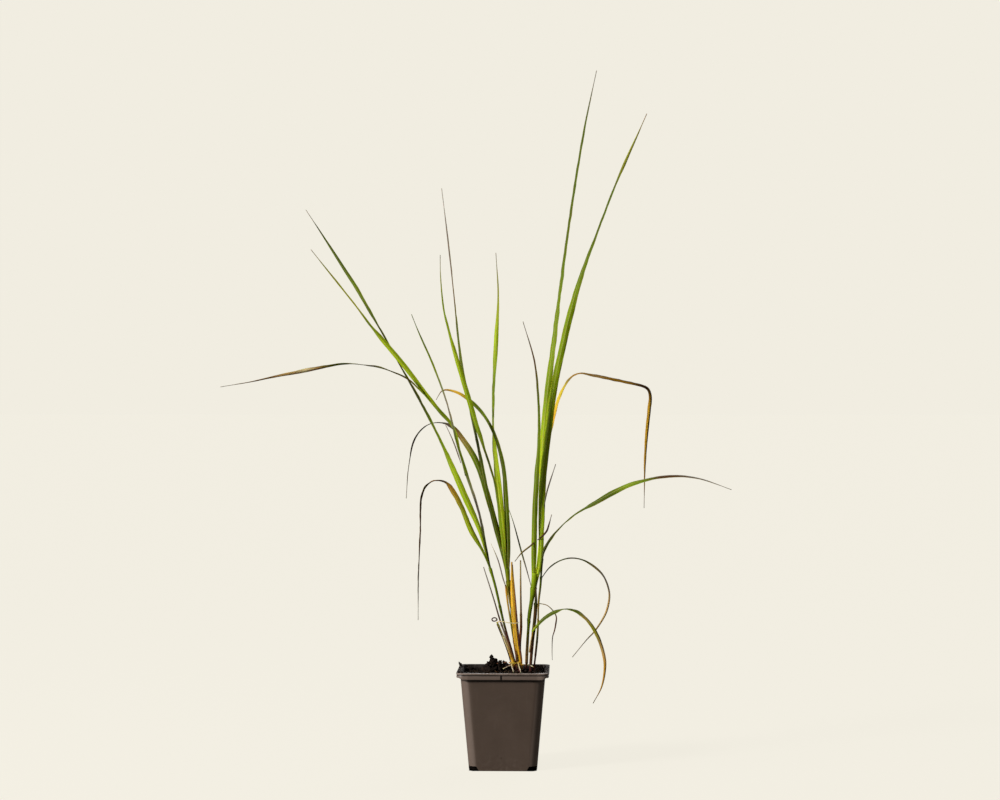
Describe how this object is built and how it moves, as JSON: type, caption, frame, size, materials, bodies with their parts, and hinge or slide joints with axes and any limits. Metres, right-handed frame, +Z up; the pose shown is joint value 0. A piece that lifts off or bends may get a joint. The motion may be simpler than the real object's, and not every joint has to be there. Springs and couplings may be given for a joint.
{
  "type": "potted feather reed grass",
  "caption": "Young ornamental feather reed grass with long arching green leaves and dry golden stems, in a square tapered nursery pot filled with dark compost.",
  "frame": {"origin": "centre of the pot's flat underside", "axes": "+Z up along the pot's axis, -Y towards the front, where the label notch in the rim is, +X to the right seen from the front"},
  "size_m": [0.4927, 0.144, 0.6946],
  "materials": {
    "pot_plastic": "satin",
    "compost": "matte",
    "green_leaf": "satin",
    "olive_leaf": "satin",
    "golden_leaf": "matte",
    "brown_stem": "matte",
    "tan_stem": "matte",
    "grey_stem": "matte"
  },
  "bodies": {
    "root": {"pot": "pot_plastic", "compost": "compost", "shoot_left": "green_leaf", "shoot_middle": "green_leaf", "shoot_right": "green_leaf", "shoot_outer": "olive_leaf", "brown_shoot": "brown_stem", "golden_blade": "golden_leaf", "dead_stem": "brown_stem", "dead_stub": "grey_stem", "tan_stem": "tan_stem", "tan_stub": "tan_stem"}
  },
  "joints": []
}
